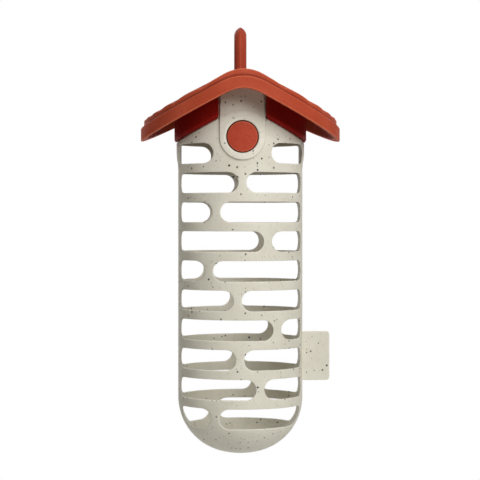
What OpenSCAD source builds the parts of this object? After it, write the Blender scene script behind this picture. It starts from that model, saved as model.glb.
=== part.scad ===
// Hanging suet ball feeder: a slotted round cage under a small gabled roof.
// Millimetres, +Z up, -Y is the front, the origin is under the middle of the cage.

/* [Cage] */
// Outer radius of the cage
cage_r = 40.6; // [36:0.1:46]
// Thickness of the cage wall
cage_wall = 2.5; // [1.8:0.1:3.2]
// Number of rows of slots
slot_rows = 10; // [4:1:12]
// Height of a slot
slot_h = 13; // [9:0.5:16]
// Height of the bar between two rows of slots
bar_h = 5.8; // [4:0.1:8]
// Width of the strut that divides a row
strut_w = 5.2; // [3:0.1:8]
// Height of the middle of the lowest row
lowest_row_z = 25.6; // [22:0.1:32]
// How much smaller than the cage's radius the round of the bowl's side is
bowl_in = 4.2; // [2:0.1:6]
// Radius of the drain hole under the cage
drain_r = 3; // [1.5:0.5:5]
// How far the wall flares out below the collar
flare = 1.1; // [0.6:0.1:1.6]

/* [Straps and buttons] */
// Width of the strap at the front and at the rear
strap_w = 29.6; // [28:0.1:32]
// How far a strap stands proud of the flared wall
strap_proud = 1; // [0.5:0.1:1.4]
// Radius of a button's cap
button_r = 9.7; // [8:0.1:10.5]
// Gap round a button's cap
button_gap = 0.7; // [0.3:0.1:1]
// Height of the buttons above the top of the highest slots
button_rise = 3.6; // [2:0.1:6]
// How far a button travels when it is pressed
button_travel = 2.6; // [2:0.1:2.8]

/* [Side tag] */
// How far the tag reaches out from the cage
tag_reach = 17.8; // [8:0.1:20]
// Height of the tag
tag_h = 32; // [24:0.5:36]
// Height of the tag's lower edge
tag_z = 47.3; // [42:0.1:60]
// Thickness of the tag
tag_t = 2.2; // [1.6:0.1:3]

/* [Roof] */
// Radius of the round outline of the roof's fascia
roof_r = 65; // [60:0.5:75]
// Fall of the roof for each millimetre out from the ridge
roof_fall = 0.517; // [0.47:0.001:0.55]
// Height of the fascia
fascia_h = 8.7; // [6.5:0.1:9.5]
// Thickness of the fascia
fascia_t = 4; // [3:0.1:5]
// Height of the tiled layer above the fascia
tile_h = 3.9; // [3:0.1:5]
// How far the tiled layer is set in from the fascia
tile_inset = 2.1; // [1:0.1:2.5]
// Distance from one groove of the tiles to the next
tile_pitch = 11.4; // [9:0.1:15]
// Depth of the grooves
tile_groove = 1.4; // [0.6:0.1:1.8]
// Height of the roof's lower edge line, at the ridge, above the highest slots
roof_rise = 35.4; // [34.7:0.1:36.7]

/* [Collar] */
// How far the collar under the roof stands out from the flared wall
collar_lap = 1.4; // [1.1:0.1:1.9]
// Wall of the collar
collar_wall = 2.1; // [1.8:0.1:2.3]
// Height of the chamfered strip along the collar's lower edge
collar_rim_h = 1.3; // [0.6:0.1:2]
// Height of the collar's lower edge line, at the ridge, above the highest slots
collar_rise = 23.1; // [22:0.1:24]
// Fall of the collar's lower edge for each millimetre out from the middle
collar_fall = 0.507; // [0.48:0.001:0.53]

/* [Hook] */
// Inner radius of the hook
hook_in_r = 9; // [7:0.5:11]
// Width of the hook's rod, seen from the front
hook_w = 8; // [6:0.1:9]
// Height of the middle of the hook's arch above the ridge line of the tiles
hook_rise = 11.8; // [10:0.1:17]
// Angle at which the tip stops, above the level of the arch's middle
hook_tip_deg = 15; // [0:1:40]

/* [Hidden] */
$fn = 96;
far = 400;
// Clearance between parts that lift past each other
gap = 0.3;
// Where the struts divide the rows, from the second lowest row up; the rows above repeat it
STRUT_X = [-17.1, 11.4, -1.5, 22.4, -3, -21, 16.3, -16.5, 0];
row_pitch = slot_h + bar_h;
top_row_z = lowest_row_z + row_pitch * (slot_rows - 1);
slots_top = top_row_z + slot_h / 2;
cage_in = cage_r - cage_wall;
slot_bite = 0.15;
slot_end = cage_in + slot_bite;
slot_round = slot_h / 2;
pad_margin = 3.7;
pad_strut_w = strap_w + 2 * pad_margin;
// The bowl: a flatter arc round its lowest point, then the arc that turns up into the wall
bowl_r = cage_r - bowl_in;
bowl_rise = 0.6;
bowl_top = bowl_r + bowl_rise;
bowl_x = bowl_in;
bottom_edge = 15;
bottom_z = bowl_top - sqrt(bowl_r * bowl_r - (bottom_edge - bowl_x) * (bottom_edge - bowl_x));
bottom_r = (bottom_edge * bottom_edge + bottom_z * bottom_z) / (2 * bottom_z);
flare_margin = 3.3;
flare_h = 11;
flare_from = slots_top - slot_h - flare_margin;
flare_to = flare_from + flare_h;
flare_r = cage_r + flare;
collar_r = flare_r + collar_lap;
neck_r = collar_r - collar_wall - gap;
strap_r = flare_r + strap_proud;

// Gable lines, each given by its height at the ridge before the ridge is rounded off,
// and the half width over which each is rounded off: the roof's lower edge least, the lines above it more
eave_flat = 11;
ridge_flat = 15;
tile_flat = 12.4;
roof_z = slots_top + roof_rise;
fascia_z = roof_z + fascia_h;
tile_z = fascia_z + tile_h;
ceiling_drop = 0.5;
ceiling_z = fascia_z - ceiling_drop;
plate_gap = 0.6;
plate_z = ceiling_z - plate_gap;
plate_t = 2.2;
plate_low = plate_z - plate_t;
neck_gap = 0.8;
neck_z = plate_low - neck_gap;
collar_z = slots_top + collar_rise;
collar_rim_in = 0.5;
tile_r = roof_r - tile_inset;
tile_steps = 6;
tile_swell = 0.6;

// The strap leans in above this height
lean_z = slots_top + 19.9;
lean_top = roof_z + 4;
lean_r = strap_r - 1.3;

button_z = slots_top + button_rise;
hole_r = button_r + button_gap;
hole_step = 0.8;
seat_drop = 0.7;
seat_u = cage_in - seat_drop;
seat_margin = 0.5;
flange_t = 1.3;
flange_play = 0.1;
flange_r = hole_r + 1.4;
face_r = strap_r - gap;
stem_r = 3;

// The bar that carries the catches, close under the collar's plate
bar_w = 11;
bar_thick = 6.7;
bar_top = gable(bar_w / 2, plate_low) - 0.5;
bar_low = bar_top - bar_thick;
bar_end = cage_in - 3.3;

// The ledges in the neck, and the catches that hold them
ledge_z = button_z + flange_r + 3.4;
ledge_h = 2;
ledge_reach = 2.5;
ledge_margin = 1;
ledge_u = cage_in - ledge_reach;
leaf_t = 0.8;
leaf_w = 9;
leaf_back = 1.6;
leaf_u = ledge_u - leaf_back;
leaf_below = 5;
leaf_root = 3;
leaf_play = 0.5;
pivot_z = bar_low + 2;
stem_gap = 0.3;
stem_end = leaf_u + stem_gap;
barb_h = 3;
barb_edge = 0.6;
barb_play = 0.1;
barb_grip = (button_travel - stem_gap) * (pivot_z - ledge_z) / (pivot_z - button_z) - barb_play;
barb_u = ledge_u + barb_grip;

// Screws, and the posts of the roof that they go into
seat_gap = 0.1;
post_r = 3.9;
screw_r = 1.5;
screw_hole_r = 1.8;
screw_head_r = 3;
screw_head_h = 2;
carrier_post_y = 24;
carrier_screw_in = 3.4;
carrier_hole_in = 4;
collar_post = 20;
pad_r = 5.6;
pad_h = 4.6;
pad_floor_t = 2.5;
pad_low = gable(collar_post, plate_low) - pad_h;
pad_floor = pad_low + pad_floor_t;
collar_screw_top = gable(collar_post, ceiling_z) + 1;
collar_hole_top = collar_screw_top + 0.5;

// The hook's rod is flat inside and drawn out to a soft point at its sides. It rises from the front half
// of the ridge and bends over to the rear, so that its tip is behind it
hook_out = hook_w * 0.75;
hook_side = hook_out - hook_w / 2;
hook_deep_in = 2.4;
hook_mid_r = hook_in_r + hook_deep_in;
hook_foot_y = -hook_mid_r;
hook_z = tile_z + hook_rise;
hook_foot_h = 2.2;
hook_foot_r = 8.4;
hook_foot_gap = 1;
hook_seat_z = tile_z - 1.6;
hook_screw_in = 7;
hook_hole_in = 7.3;

tag_corner = 2;
tag_key_t = tag_t - 0.8;
tag_key_h = tag_h - 12;
tag_play = 0.05;

red = [0.66, 0.25, 0.17];
stone = [0.84, 0.82, 0.76];
steel = [0.72, 0.73, 0.74];

// Height of a gable line at x: two straight falls joined over the ridge by a parabola
function gable(x, z0, fall = roof_fall, flat = ridge_flat) =
    z0 - fall * (abs(x) < flat ? (x * x / flat + flat) / 2 : abs(x));

// Points of that line from one side to the other
function gable_line(z0, reach, fall = roof_fall, flat = ridge_flat) =
    [for (x = concat([-reach], [for (k = [-5:5]) flat * k / 5], [reach])) [x, gable(x, z0, fall, flat)]];

// Drop of the tiles at y: rounded crests with sharp grooves between them
function tile_drop(y) = tile_groove * (1 - pow(abs(sin(180 * y / tile_pitch)), tile_swell));

// An outline in the XZ plane, carried along Y
module along_y(length) {
    rotate([90, 0, 0]) linear_extrude(height = length, center = true) children();
}

// Everything below a gable line
module below(z0, fall = roof_fall, flat = ridge_flat) {
    along_y(far) polygon(concat([[-far / 2, -far]], gable_line(z0, far / 2, fall, flat), [[far / 2, -far]]));
}

// The front one and the rear one of a pair
module both_sides() {
    for (turn = [0, 180]) rotate([0, 0, turn]) children();
}

// A straight cylinder that lies along Y on the front side, from one distance out to another
module front_rod(r, from, to, z) {
    translate([0, -from, z]) rotate([90, 0, 0]) cylinder(r = r, h = to - from);
}

// Half outline of the bowl and the wall above it, with this much taken off all round
module bowl_outline(inset, top) {
    edge = bottom_edge - inset * (bottom_edge - bowl_x) / bowl_r;
    intersection() {
        translate([0, bottom_r]) circle(r = bottom_r - inset, $fn = 180);
        square([edge, bowl_top]);
    }
    intersection() {
        translate([bowl_x, bowl_top]) circle(r = bowl_r - inset, $fn = 180);
        translate([edge, 0]) square([cage_r - edge, bowl_top]);
    }
    translate([0, bowl_top]) square([cage_r - inset, top - bowl_top]);
}

// Seen from the front, the field that the slots may reach: it follows the inside of the bowl
module slot_field(end) {
    for (side = [-1, 1]) scale([side, 1]) bowl_outline(cage_r - end, slots_top + slot_h);
}

// The two slots of a row, seen from the front: round beside the strut, square at the sides of the cage
module slot_row(strut_x, strut, end) {
    for (side = [-1, 1]) {
        start = strut_x + side * (strut / 2 + slot_round);
        translate([start, 0]) circle(r = slot_round);
        translate([side > 0 ? start : -end, -slot_h / 2]) square([end - side * start, slot_h]);
    }
}

module slots() {
    along_y(far) for (k = [0:slot_rows - 1]) {
        end = k == slot_rows - 1 ? slot_end + flare : slot_end;
        intersection() {
            translate([0, lowest_row_z + row_pitch * k])
                if (k == slot_rows - 1) slot_row(0, pad_strut_w, end);
                else slot_row(STRUT_X[k % len(STRUT_X)], strut_w, end);
            slot_field(end);
        }
    }
}

// The strap seen from the front: straight sides and a round lower end
module strap_outline(w, low_z) {
    translate([0, low_z]) circle(r = w / 2);
    translate([-w / 2, low_z]) square([w, far]);
}

module strap_shell() {
    intersection() {
        rotate_extrude() polygon([[cage_in, button_z - strap_w], [strap_r, button_z - strap_w],
            [strap_r, lean_z], [lean_r, lean_top], [cage_in, lean_top]]);
        translate([0, -cage_r, 0]) along_y(cage_r) strap_outline(strap_w, button_z);
    }
}

// The bowl, the wall and its flare, as one turned shell that ends under the collar
module turned_shell() {
    intersection() {
        rotate_extrude() difference() {
            union() {
                bowl_outline(0, roof_z);
                polygon([[cage_in, flare_from], [cage_r, flare_from], [flare_r, flare_to],
                    [flare_r, roof_z], [cage_in, roof_z]]);
            }
            bowl_outline(cage_wall, roof_z + 1);
        }
        below(collar_z - gap / 2, collar_fall, 1);
    }
}

// The narrower neck inside the collar
module neck() {
    intersection() {
        difference() {
            translate([0, 0, flare_to]) cylinder(r = neck_r, h = roof_z - flare_to);
            cylinder(r = cage_in, h = far);
        }
        below(neck_z);
    }
}

module ledge() {
    root = 0.5;
    translate([-leaf_w / 2 - ledge_margin, -cage_in - root, ledge_z])
        cube([leaf_w + 2 * ledge_margin, cage_in + root - ledge_u, ledge_h]);
}

// The hole for a button: a shallow step in the strap's face, and a flat seat behind the wall
module button_hole() {
    front_rod(hole_r, seat_u / 2, strap_r + 1, button_z);
    front_rod(flange_r + seat_margin, seat_u / 2, seat_u, button_z);
    difference() {
        front_rod(hole_r + hole_step, cage_in, strap_r + 1, button_z);
        cylinder(r = strap_r - hole_step / 2, h = far);
    }
}

// The tongue of the tag, or the slot in the wall that it goes into
module tag_key(from, to, play) {
    translate([from, -tag_key_t / 2 - play, tag_z + (tag_h - tag_key_h) / 2 - play])
        cube([to - from, tag_key_t + 2 * play, tag_key_h + 2 * play]);
}

module cage() {
    color(stone) difference() {
        union() {
            turned_shell();
            neck();
            intersection() {
                both_sides() strap_shell();
                below(neck_z);
            }
            both_sides() ledge();
        }
        slots();
        both_sides() button_hole();
        translate([0, 0, -1]) cylinder(r = drain_r, h = bowl_x + cage_wall);
        tag_key(cage_in - 1, cage_r + 1, tag_play);
    }
}

module side_tag() {
    color(stone) {
        along_y(tag_t) translate([cage_r, tag_z]) {
            square([tag_reach - tag_corner, tag_h]);
            translate([0, tag_corner]) square([tag_reach, tag_h - 2 * tag_corner]);
            for (z = [tag_corner, tag_h - tag_corner])
                translate([tag_reach - tag_corner, z]) circle(r = tag_corner);
        }
        tag_key(slot_end, cage_r + 1, 0);
    }
}

// A round push button: cap with a face that follows the strap, flange behind the wall, stem to the catch
module button() {
    flange_u = seat_u - flange_play;
    color(red) {
        intersection() {
            front_rod(button_r, flange_u - flange_t, far / 4, button_z);
            cylinder(r = face_r, h = far);
        }
        front_rod(flange_r, flange_u - flange_t, flange_u, button_z);
        front_rod(stem_r, stem_end, flange_u, button_z);
    }
}

// A sprung steel strip with a folded barb that holds the ledge of the cage
module catch() {
    low = button_z - leaf_below;
    barb_z = ledge_z - barb_play;
    color(steel) {
        translate([-leaf_w / 2, -leaf_u, low]) cube([leaf_w, leaf_t, pivot_z + leaf_root - low]);
        rotate([90, 0, 90]) linear_extrude(height = leaf_w, center = true)
            polygon([[-leaf_u + leaf_t / 2, barb_z], [-barb_u, barb_z], [-barb_u, barb_z - barb_edge],
                [-leaf_u, barb_z - barb_h], [-leaf_u + leaf_t / 2, barb_z - barb_h]]);
    }
}

module screw(head_z, tip_z) {
    shank_z = head_z - screw_head_h / 2;
    color(steel) {
        translate([0, 0, head_z - screw_head_h]) cylinder(r = screw_head_r, h = screw_head_h);
        translate([0, 0, shank_z]) cylinder(r = screw_r, h = tip_z - shank_z);
    }
}

module catch_carrier() {
    pocket_top = pivot_z + leaf_root + leaf_play;
    color(red) difference() {
        translate([-bar_w / 2, -bar_end, bar_low]) cube([bar_w, 2 * bar_end, bar_thick]);
        both_sides() translate([-leaf_w / 2 - gap, -leaf_u - leaf_play, bar_low - 1])
            cube([leaf_w + 2 * gap, leaf_t + 2 * leaf_play, pocket_top - bar_low + 1]);
        for (y = [-carrier_post_y, carrier_post_y, hook_foot_y])
            translate([0, y, bar_low - 1]) cylinder(r = screw_hole_r, h = bar_thick + 2);
    }
}

module carrier_screws() {
    for (y = [-carrier_post_y, carrier_post_y])
        translate([0, y, 0]) screw(bar_low, bar_top + carrier_screw_in);
}

module hook_screw() {
    translate([0, hook_foot_y, 0]) screw(bar_low, bar_top + hook_screw_in);
}

module collar_posts() {
    for (x = [-collar_post, collar_post], y = [-collar_post, collar_post]) translate([x, y, 0]) children();
}

module collar_screws() {
    collar_posts() screw(pad_low, collar_screw_top);
}

// The rounded inner corner of the collar's wall beside the strap, seen from the front
module collar_corner(edge_x) {
    r = 3;
    slant = sqrt(1 + collar_fall * collar_fall);
    mid = [edge_x + r, collar_z - collar_fall * (edge_x + r) + r * slant];
    foot = [mid[0] - r * collar_fall / slant, mid[1] - r / slant];
    difference() {
        polygon([[edge_x - 1, mid[1]], mid, foot, [foot[0], foot[1] - r], [edge_x - 1, foot[1] - r]]);
        translate(mid) circle(r = r, $fn = 48);
    }
}

// The collar's round wall, down to a gable line
module collar_ring(r, line_z) {
    low = collar_z - collar_fall * collar_r - 10;
    difference() {
        translate([0, 0, low]) cylinder(r = r, h = far / 4);
        translate([0, 0, low - 1]) cylinder(r = collar_r - collar_wall, h = far / 2);
        below(line_z, collar_fall, 1);
    }
}

module collar() {
    window = strap_w / 2 + gap;
    color(red) difference() {
        intersection() {
            union() {
                collar_ring(collar_r, collar_z + collar_rim_h);
                collar_ring(collar_r - collar_rim_in, collar_z);
                difference() {
                    cylinder(r = collar_r - collar_wall / 2, h = far);
                    below(plate_low);
                }
                intersection() {
                    collar_posts() translate([0, 0, pad_low]) cylinder(r = pad_r, h = far / 8);
                    below(plate_z - plate_t / 2);
                }
            }
            below(plate_z);
        }
        intersection() {
            along_y(far) translate([-window, pad_low - far / 4]) square([2 * window, far / 2]);
            difference() {
                cylinder(r = collar_r + 1, h = far);
                cylinder(r = neck_r, h = far);
            }
            below(plate_low);
        }
        along_y(far) for (side = [0, 1]) mirror([side, 0]) collar_corner(window);
        collar_posts() {
            translate([0, 0, pad_floor]) cylinder(r = post_r + 2 * seat_gap, h = far / 8);
            translate([0, 0, pad_low - 1]) cylinder(r = screw_hole_r, h = far / 8);
        }
        for (y = [-carrier_post_y, carrier_post_y, hook_foot_y])
            translate([0, y, pad_low]) cylinder(r = post_r + gap, h = far / 8);
    }
}

// The tiled layer: its points lie on lines across the roof, each from edge to edge of the round outline
module tile_layer() {
    step = tile_pitch / tile_steps;
    inner = floor((tile_r - 1) / step);
    ends = [tile_r - 0.7, tile_r - 0.25, tile_r - 0.05];
    ys = concat([for (k = [2:-1:0]) -ends[k]], [for (k = [-inner:inner]) k * step], ends);
    columns = 9;
    xs = function(y) let (edge = sqrt(tile_r * tile_r - y * y), flat = min(ridge_flat, 0.8 * edge))
        concat([-edge], [for (k = [-3:3]) flat * k / 3], [edge]);
    top = [for (y = ys) for (x = xs(y)) [x, y, gable(x, tile_z, flat = tile_flat) - tile_drop(y)]];
    low = [for (y = ys) for (x = xs(y)) [x, y, gable(x, ceiling_z)]];
    n = len(top);
    rows = len(ys);
    last = (rows - 1) * columns;
    polyhedron(points = concat(top, low), faces = concat(
        [for (j = [0:rows - 2]) for (i = [0:columns - 2]) let (a = j * columns + i)
            for (f = [[a, a + columns, a + 1], [a + 1, a + columns, a + columns + 1]]) f],
        [for (j = [0:rows - 2]) for (i = [0:columns - 2]) let (a = n + j * columns + i)
            for (f = [[a, a + 1, a + columns], [a + 1, a + columns + 1, a + columns]]) f],
        [for (j = [0:rows - 2]) let (a = j * columns)
            for (f = [[a, n + a, a + columns], [n + a, n + a + columns, a + columns]]) f],
        [for (j = [0:rows - 2]) let (a = j * columns + columns - 1)
            for (f = [[a, a + columns, n + a], [n + a, a + columns, n + a + columns]]) f],
        [for (i = [0:columns - 2]) for (f = [[i, i + 1, n + i], [n + i, i + 1, n + i + 1]]) f],
        [for (i = [0:columns - 2]) let (a = last + i)
            for (f = [[a, n + a, a + 1], [n + a, n + a + 1, a + 1]]) f]
    ), convexity = 6);
}

// The roof's rim, round outside and inside, between two gable lines
module fascia() {
    low = roof_z - roof_fall * roof_r - 10;
    intersection() {
        difference() {
            translate([0, 0, low]) cylinder(r = roof_r, h = far / 4, $fn = 180);
            translate([0, 0, low - 1]) cylinder(r = roof_r - fascia_t, h = far / 2, $fn = 180);
            below(roof_z, flat = eave_flat);
        }
        below(fascia_z);
    }
}

module roof() {
    root_z = ceiling_z + 1;
    color(red) difference() {
        union() {
            tile_layer();
            fascia();
            intersection() {
                union() {
                    for (y = [-carrier_post_y, carrier_post_y])
                        translate([0, y, bar_top + seat_gap]) cylinder(r = post_r, h = far / 8);
                    collar_posts() translate([0, 0, pad_floor + seat_gap]) cylinder(r = post_r, h = far / 8);
                }
                below(root_z);
            }
            difference() {
                translate([0, hook_foot_y, pad_low])
                    cylinder(r = hook_foot_r + hook_foot_gap, h = hook_seat_z - pad_low);
                below(root_z);
            }
        }
        translate([0, hook_foot_y, pad_low]) cylinder(r = post_r + seat_gap, h = far / 8);
        for (y = [-carrier_post_y, carrier_post_y])
            translate([0, y, bar_top - 1]) cylinder(r = screw_r, h = carrier_hole_in + 1);
        collar_posts() translate([0, 0, pad_floor - 1])
            cylinder(r = screw_r, h = collar_hole_top - pad_floor + 1);
    }
}

module hook_section() {
    intersection() {
        translate([0, hook_side]) circle(r = hook_out);
        translate([0, -hook_side]) circle(r = hook_out);
        translate([-hook_deep_in, -hook_w]) square([hook_out + hook_w, 2 * hook_w]);
    }
}

module hook() {
    color(red) {
        translate([0, 0, hook_z]) rotate([90, 0, -90]) rotate_extrude(angle = 180 - hook_tip_deg)
            translate([hook_mid_r, 0]) hook_section();
        translate([0, hook_foot_y, hook_seat_z + 1]) rotate([0, 0, -90])
            linear_extrude(height = hook_z - hook_seat_z - 1) hook_section();
        translate([0, hook_foot_y, hook_seat_z]) cylinder(r = hook_foot_r, h = hook_foot_h);
        difference() {
            translate([0, hook_foot_y, bar_top + seat_gap]) cylinder(r = post_r, h = hook_seat_z - bar_top);
            translate([0, hook_foot_y, bar_top - 1]) cylinder(r = screw_r, h = hook_hole_in + 1);
        }
    }
}

cage();
side_tag();
button();  // front_button
rotate([0, 0, 180]) button();  // rear_button
catch();  // front_catch
rotate([0, 0, 180]) catch();  // rear_catch
catch_carrier();
carrier_screws();
collar();
collar_screws();
roof();
hook();
hook_screw();
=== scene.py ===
import bpy
import math
import numpy as np
from mathutils.geometry import delaunay_2d_cdt
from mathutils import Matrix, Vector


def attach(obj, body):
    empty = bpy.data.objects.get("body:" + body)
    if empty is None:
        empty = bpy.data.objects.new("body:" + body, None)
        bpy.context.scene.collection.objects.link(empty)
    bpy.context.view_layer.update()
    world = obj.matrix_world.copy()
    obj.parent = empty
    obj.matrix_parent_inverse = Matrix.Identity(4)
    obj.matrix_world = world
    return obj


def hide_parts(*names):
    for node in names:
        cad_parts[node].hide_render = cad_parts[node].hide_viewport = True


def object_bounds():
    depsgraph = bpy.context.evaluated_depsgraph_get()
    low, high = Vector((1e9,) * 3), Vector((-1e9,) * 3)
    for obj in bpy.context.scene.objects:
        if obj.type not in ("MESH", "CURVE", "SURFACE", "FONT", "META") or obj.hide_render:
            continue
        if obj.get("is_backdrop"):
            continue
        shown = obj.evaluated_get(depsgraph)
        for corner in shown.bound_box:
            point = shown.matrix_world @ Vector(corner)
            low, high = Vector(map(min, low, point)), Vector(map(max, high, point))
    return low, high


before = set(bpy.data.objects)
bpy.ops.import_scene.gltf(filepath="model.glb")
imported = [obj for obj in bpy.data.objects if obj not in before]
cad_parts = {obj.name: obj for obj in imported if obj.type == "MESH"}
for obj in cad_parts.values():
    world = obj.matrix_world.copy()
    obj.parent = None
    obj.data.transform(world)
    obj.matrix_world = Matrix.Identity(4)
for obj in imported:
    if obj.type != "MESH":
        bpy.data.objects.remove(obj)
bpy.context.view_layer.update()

# The cage: one moulding in speckled, stone coloured plastic. A straight round tube with a domed bowl, ten
# rows of slots that the mould cuts straight through from front to rear, and a strap at the front and at the
# rear that carries a push button. The narrow neck at its top goes up inside the collar.
MM = 0.001
CAGE_R = 0.0406
WALL = 0.002
BOWL_TOP = 0.037
BOWL_IN = 0.0042
BOWL_R = CAGE_R - BOWL_IN
BOTTOM_EDGE = 0.015
BOTTOM_Z = BOWL_TOP - math.sqrt(BOWL_R ** 2 - (BOTTOM_EDGE - BOWL_IN) ** 2)
BOTTOM_R = (BOTTOM_EDGE ** 2 + BOTTOM_Z ** 2) / (2 * BOTTOM_Z)
FLARE = 0.0011
FLARE_Z = (0.185, 0.196)
NECK_R = 0.0407
NECK_TOP = 0.2413
NECK_TOP_R = 0.0412
STRAP_R = 0.0427
STRAP_W = 0.0296
BUTTON_Z = 0.2049
HOLE_R = 0.0104
ROWS = 10
ROW_PITCH = 0.0188
ROW_Z = 0.0256
SLOT_H = 0.013
SLOT_END = 0.0386
SLOT_CORNER = 0.0016
SLOT_BULGE = 0.0005
SLOT_SPACING = 0.0018
STRUT_W = 0.0052
PAD_W = 0.037
# Where the strut stands in each row, from the lowest row up.
STRUT_X = np.array([-17.1, 11.4, -1.5, 22.4, -3, -21, 16.3, -16.5, 0, 0]) * MM
SHELL_Z = ROW_Z - ROW_PITCH / 2
ROOF_FALL = 0.517
RIDGE_FLAT = 0.015
COLLAR_LINE = 0.2244
COLLAR_FALL = 0.507
COLLAR_FLAT = 0.001


def gable(x, ridge_z, fall=ROOF_FALL, flat=RIDGE_FLAT):
    """Height of a gable line: two straight falls, joined over the ridge by a parabola, 2 * flat wide."""
    x = np.abs(x)
    return ridge_z - fall * np.where(x < flat, (x * x / flat + flat) / 2, x)


def collar_line(x):
    """Height of the gable line along the collar's lower edge, where the cage's shell ends."""
    return gable(x, COLLAR_LINE, COLLAR_FALL, COLLAR_FLAT)


def bottom_edge(inset):
    """Radius at which the flat round of the bottom meets the bowl's side round."""
    return BOTTOM_EDGE - inset * (BOTTOM_EDGE - BOWL_IN) / BOWL_R


def cage_radius(z, inset):
    """Radius of the cage at a height, less a wall: a flat round at the bottom, a round side, then a straight
    tube that flares a little below the collar on its outside."""
    round_r = np.sqrt(np.clip((BOWL_R - inset) ** 2 - np.clip(BOWL_TOP - z, 0, None) ** 2, 0, None))
    side = BOWL_IN + round_r
    bottom = np.sqrt(np.clip((BOTTOM_R - inset) ** 2 - (BOTTOM_R - z) ** 2, 0, None))
    t = np.clip((z - FLARE_Z[0]) / (FLARE_Z[1] - FLARE_Z[0]), 0, 1)
    flared = side + (FLARE * t * t * (3 - 2 * t) if inset == 0 else 0)
    return np.where(side < bottom_edge(inset), bottom, flared)


# Each step in the wall is a list of distances from its edge, in millimetres, and what is left of it there:
# a share of its height, or for the bevel of the button's hole a depth in millimetres.
STRAP_STEP = ([-0.7, -0.45, -0.2, 0.05, 0.4], [1, 0.96, 0.74, 0.07, 0])
SHELL_STEP = ([-0.9, -0.5, -0.15, 0.05], [1, 0.94, 0.6, 0])
HOLE_STEP = ([0, 0.25, 0.8, 1.1], [0.6, 0.5, 0.08, 0])
SEAT_STEP = ([-0.1, 0.1], [1, 0])
SEAT_U = 0.0374
SEAT_R = 0.0123
LEDGE_HALF = 0.0055
LEDGE_LOW = 0.2201
LEDGE_HIGH = 0.2221
LEDGE_DEPTH = 0.003
LEDGE_EDGE = 0.0002
CREASE_Z = 0.2212
CREASE_ARCH = 0.045
CREASE_HALF = 0.0138
CREASE_W = 0.0005
CREASE_STEP = 0.00022
LEAN = 0.0014
LEAN_H = 0.0188


def left_of(step, distance):
    """What is left of a step at a distance from its edge."""
    return np.interp(distance * 1000, *step)


def from_strap(x, z):
    """Distance out from the edge of the strap: straight sides, and a half circle round the button below."""
    return np.where(z < BUTTON_Z, np.hypot(x, z - BUTTON_Z), np.abs(x)) - STRAP_W / 2


def crease_line(x):
    """Height of the arched crease across the strap, above its button."""
    return CREASE_Z - x * x / CREASE_ARCH


def outer_radius(turn, z):
    """Radius of the cage's outside at an angle from its front. A step rises to the strap, which leans in
    above an arched crease. The shell ends along the collar's gable line, and the neck above it is narrower.
    The hole for the button has a bevelled edge."""
    x = STRAP_R * np.sin(turn)
    shell = NECK_R + (cage_radius(z, 0) - NECK_R) * left_of(SHELL_STEP, z - collar_line(x))
    above = z - crease_line(x)
    creased = STRAP_R - CREASE_STEP * np.clip(above / CREASE_W + 0.5, 0, 1)
    strap = creased - LEAN * np.clip(above / LEAN_H, 0, 1.1)
    raised = shell + (strap - shell) * left_of(STRAP_STEP, from_strap(x, z))
    return raised - MM * left_of(HOLE_STEP, np.hypot(x, z - BUTTON_Z) - HOLE_R)


def inner_radius(turn, z):
    """Radius of the cage's inside: the wall's inner face, the flat seat behind each button, and the ledge
    that the catch holds."""
    radius = cage_radius(z, WALL)
    x = radius * np.sin(turn)
    seat = np.clip(np.hypot(x, SEAT_U) - radius, 0, None)
    seat = seat * left_of(SEAT_STEP, np.hypot(x, z - BUTTON_Z) - SEAT_R)
    across = np.interp(np.abs(x) - LEDGE_HALF, [-LEDGE_EDGE, LEDGE_EDGE], [1, 0])
    lower = [LEDGE_LOW - LEDGE_EDGE, LEDGE_LOW + LEDGE_EDGE]
    upper = [LEDGE_HIGH - LEDGE_EDGE, LEDGE_HIGH + LEDGE_EDGE]
    return radius + seat - LEDGE_DEPTH * across * np.interp(z, lower + upper, [0, 1, 1, 0])


def on_surface(radius, turn, z):
    """Points at an angle from the front, as x, y, z."""
    r = radius(turn, z)
    return np.stack([r * np.sin(turn), -r * np.cos(turn), z + 0 * turn], -1)


def to_turn(x, z, radius):
    """Angle from the front of a point seen from the front at x, on a surface given by its radius. Each round
    takes the radius at the last angle."""
    turn = np.arcsin(np.clip(x / CAGE_R, -0.99, 0.99))
    for _ in range(4):
        turn = np.arcsin(np.clip(x / radius(turn, z), -0.9951, 0.9951))
    return turn


def slot_loop(strut_x, side, row):
    """One slot's outline, anticlockwise seen from the front: a half circle beside the strut, straight edges,
    and a nearly straight end with small corners at the cage's side. In the bowl the end follows the bowl."""
    zc = ROW_Z + ROW_PITCH * row
    r, corner = SLOT_H / 2, SLOT_CORNER
    strut, end = (PAD_W, SLOT_END + 0.9 * FLARE) if row == ROWS - 1 else (STRUT_W, SLOT_END)
    start = side * strut_x + strut / 2 + r
    rise = np.linspace(-1, 1, 7)[1:-1]
    bulge = np.stack([end - SLOT_BULGE * rise ** 2, (r - corner) * rise], -1)
    arc = np.linspace(-90, 0, 7) * math.pi / 180
    low_x = end - SLOT_BULGE - corner + corner * np.cos(arc)
    low = np.stack([low_x, corner - r + corner * np.sin(arc)], -1)
    count = max(4, int((low_x[0] - start) / SLOT_SPACING))
    along = np.linspace(start, low_x[0], count)[1:-1]
    straight = np.stack([along, 0 * along - r], -1)
    round_end = np.linspace(90, 270, 29) * math.pi / 180
    half = np.stack([start + r * np.cos(round_end), r * np.sin(round_end)], -1)
    flip = [1, -1]
    loop = np.concatenate([half, straight, low, bulge, low[::-1] * flip, straight[::-1] * flip])
    x, z = loop[:, 0], loop[:, 1] + zc
    reach = np.clip((x - start) / (end - start), 0, 1)
    x = x - reach * (SLOT_END - np.minimum(SLOT_END, cage_radius(z, WALL - 0.0001)))
    loop = np.stack([side * x, z], -1)
    return loop if side > 0 else loop[::-1]


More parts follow.
